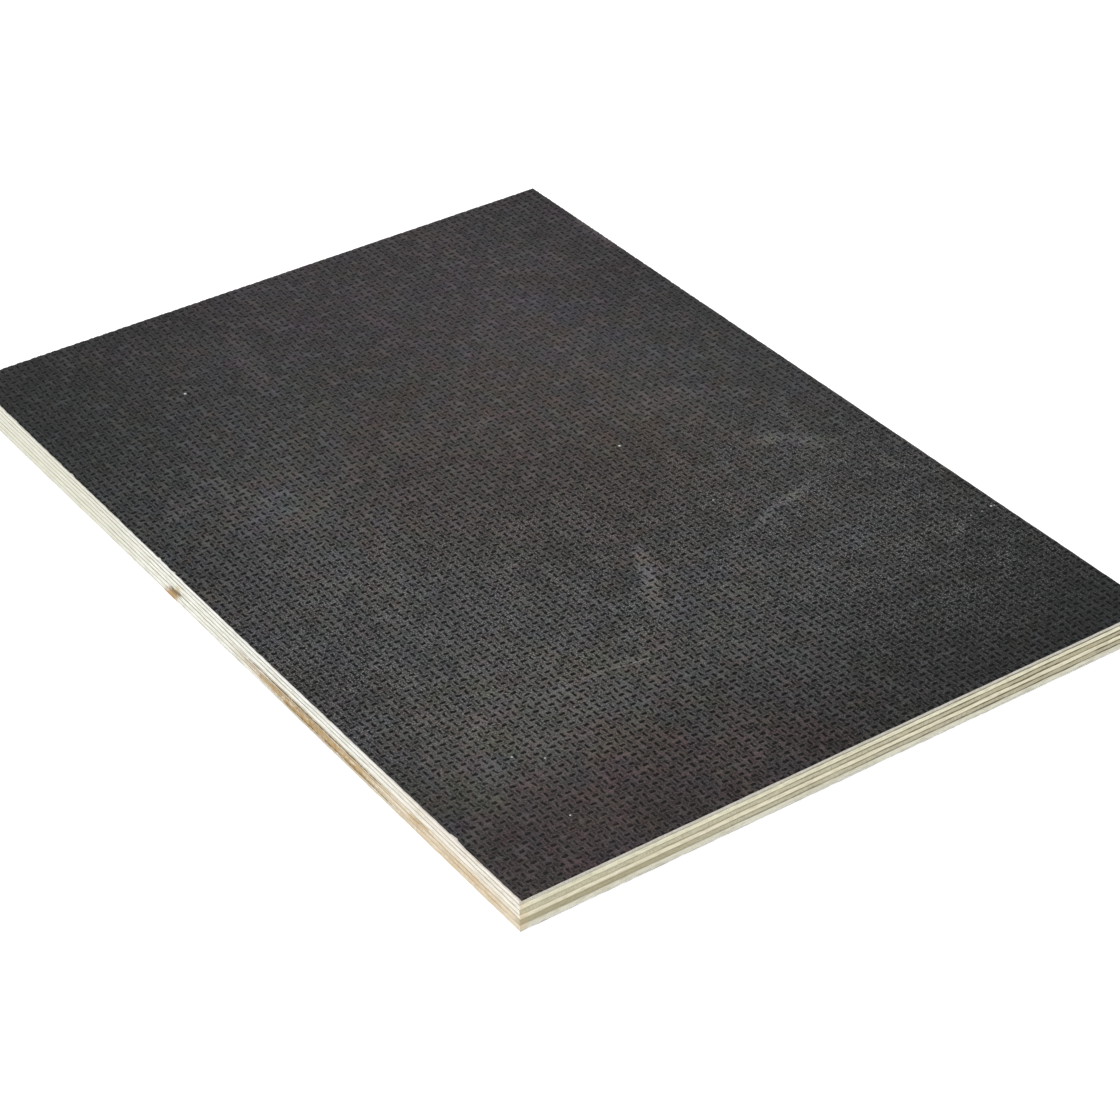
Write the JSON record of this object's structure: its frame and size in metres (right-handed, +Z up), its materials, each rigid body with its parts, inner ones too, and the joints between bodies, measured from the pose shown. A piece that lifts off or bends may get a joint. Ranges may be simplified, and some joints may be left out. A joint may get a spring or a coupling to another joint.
{
  "type": "plywood sheet",
  "caption": "Flat film-faced plywood sheet: cross-glued veneers show at its square sawn edges, and its dark tread face has a slip-resistant wire-mesh print, for floors and platforms.",
  "frame": {"origin": "centre of the underside, on the floor that the sheet lies on", "axes": "+X across the sheet, +Y along its length and its face grain, +Z up out of the tread face"},
  "size_m": [0.21, 0.3, 0.01],
  "materials": {
    "tread_film": "satin",
    "backing_film": "satin",
    "veneer_long_grain": "sawn",
    "veneer_cross_grain": "sawn"
  },
  "bodies": {
    "root": {"tread_film": "tread_film", "veneer_1_face": "veneer_long_grain", "veneer_2_cross": "veneer_cross_grain", "veneer_3_long": "veneer_long_grain", "veneer_4_cross": "veneer_cross_grain", "veneer_5_long": "veneer_long_grain", "veneer_6_cross": "veneer_cross_grain", "veneer_7_back": "veneer_long_grain", "backing_film": "backing_film"}
  },
  "joints": []
}
